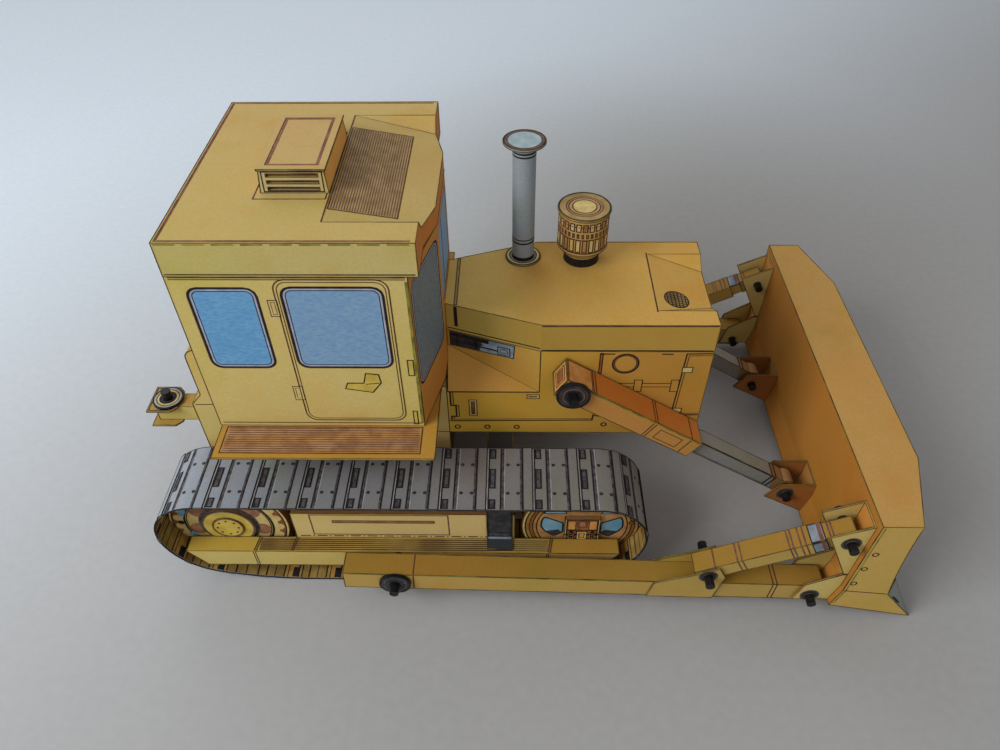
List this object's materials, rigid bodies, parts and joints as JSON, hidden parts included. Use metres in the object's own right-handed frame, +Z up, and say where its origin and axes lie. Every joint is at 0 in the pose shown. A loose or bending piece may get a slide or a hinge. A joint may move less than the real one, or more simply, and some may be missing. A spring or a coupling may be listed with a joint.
{
  "type": "card model of a tracked bulldozer",
  "caption": "Hand-coloured card model of a tracked bulldozer with closed cab, lifting front blade on push arms, lift cylinders and rear drawbar.",
  "frame": {"origin": "on the ground, on the mid-plane, halfway between the drawbar's rear edge and the tip of the cutting edge", "axes": "+X forward to the blade, +Y to the machine's left, +Z up"},
  "size_m": [0.2708, 0.1442, 0.1361],
  "materials": {
    "yellow_card": "matte, hand coloured",
    "ochre_card": "matte, hand coloured",
    "brown_card": "matte, hand coloured",
    "track_card": "matte, hand coloured",
    "grey_card": "matte, hand coloured",
    "black_pin": "satin"
  },
  "bodies": {
    "chassis": {"engine_box": "ochre_card", "rear_body": "ochre_card", "lower_case": "brown_card", "cowl": "ochre_card", "hood": "yellow_card", "exhaust_stack": "grey_card", "air_precleaner": "yellow_card", "cab_walls": "ochre_card", "cab_roof": "yellow_card", "roof_vent": "yellow_card", "fender_plate": "yellow_card", "fuel_tank": "ochre_card", "drawbar": "ochre_card", "drawbar_pin": "black_pin", "equalizer_bar": "grey_card", "track_right": "track_card", "track_left": "track_card", "sprocket_right": "brown_card", "sprocket_left": "brown_card", "idler_right": "brown_card", "idler_left": "brown_card", "track_frame_right": "brown_card", "track_frame_left": "brown_card", "side_guard_right": "yellow_card", "side_guard_left": "yellow_card", "arm_pivot_right": "black_pin", "arm_pivot_left": "black_pin", "lift_trunnion_right": "black_pin", "lift_trunnion_left": "black_pin"},
    "blade_frame": {"blade": "yellow_card", "cutting_edge": "grey_card", "push_arm_right": "yellow_card", "push_arm_left": "yellow_card", "arm_gussets_right": "yellow_card", "arm_gussets_left": "yellow_card", "tilt_brace_right": "yellow_card", "tilt_brace_left": "yellow_card", "brace_bracket_right": "yellow_card", "brace_bracket_left": "yellow_card", "arm_bracket_right": "yellow_card", "arm_bracket_left": "yellow_card", "lift_bracket_right": "yellow_card", "lift_bracket_left": "yellow_card", "linkage_pins_right": "black_pin", "linkage_pins_left": "black_pin"},
    "cylinder_right": {"lift_cylinder_right": "yellow_card"},
    "rod_right": {"lift_rod_right": "grey_card"},
    "cylinder_left": {"lift_cylinder_left": "yellow_card"},
    "rod_left": {"lift_rod_left": "grey_card"}
  },
  "joints": [
    {"name": "blade_lift", "type": "hinge", "parent": "chassis", "child": "blade_frame", "pos_m": [-0.0365, 0, 0.0142], "axis": [0, -1, 0], "range_deg": [-4, 14]},
    {"name": "lift_swing_right", "type": "hinge", "parent": "chassis", "child": "cylinder_right", "pos_m": [0.0209, -0.0275, 0.0675], "axis": [0, -1, 0], "range_deg": [-6, 19]},
    {"name": "rod_slide_right", "type": "slide", "parent": "cylinder_right", "child": "rod_right", "axis": [-0.8417, 0, 0.5399], "range_m": [-0.0055, 0.0185]},
    {"name": "lift_swing_left", "type": "hinge", "parent": "chassis", "child": "cylinder_left", "pos_m": [0.0209, 0.0275, 0.0675], "axis": [0, -1, 0], "range_deg": [-6, 19]},
    {"name": "rod_slide_left", "type": "slide", "parent": "cylinder_left", "child": "rod_left", "axis": [-0.8417, 0, 0.5399], "range_m": [-0.0055, 0.0185]}
  ],
  "couplings": [
    {"joint": "lift_swing_right", "follows": "blade_lift", "ratio": 1.325},
    {"joint": "rod_slide_right", "follows": "blade_lift", "m_per_rad": 0.073},
    {"joint": "lift_swing_left", "follows": "blade_lift", "ratio": 1.325},
    {"joint": "rod_slide_left", "follows": "blade_lift", "m_per_rad": 0.073}
  ]
}
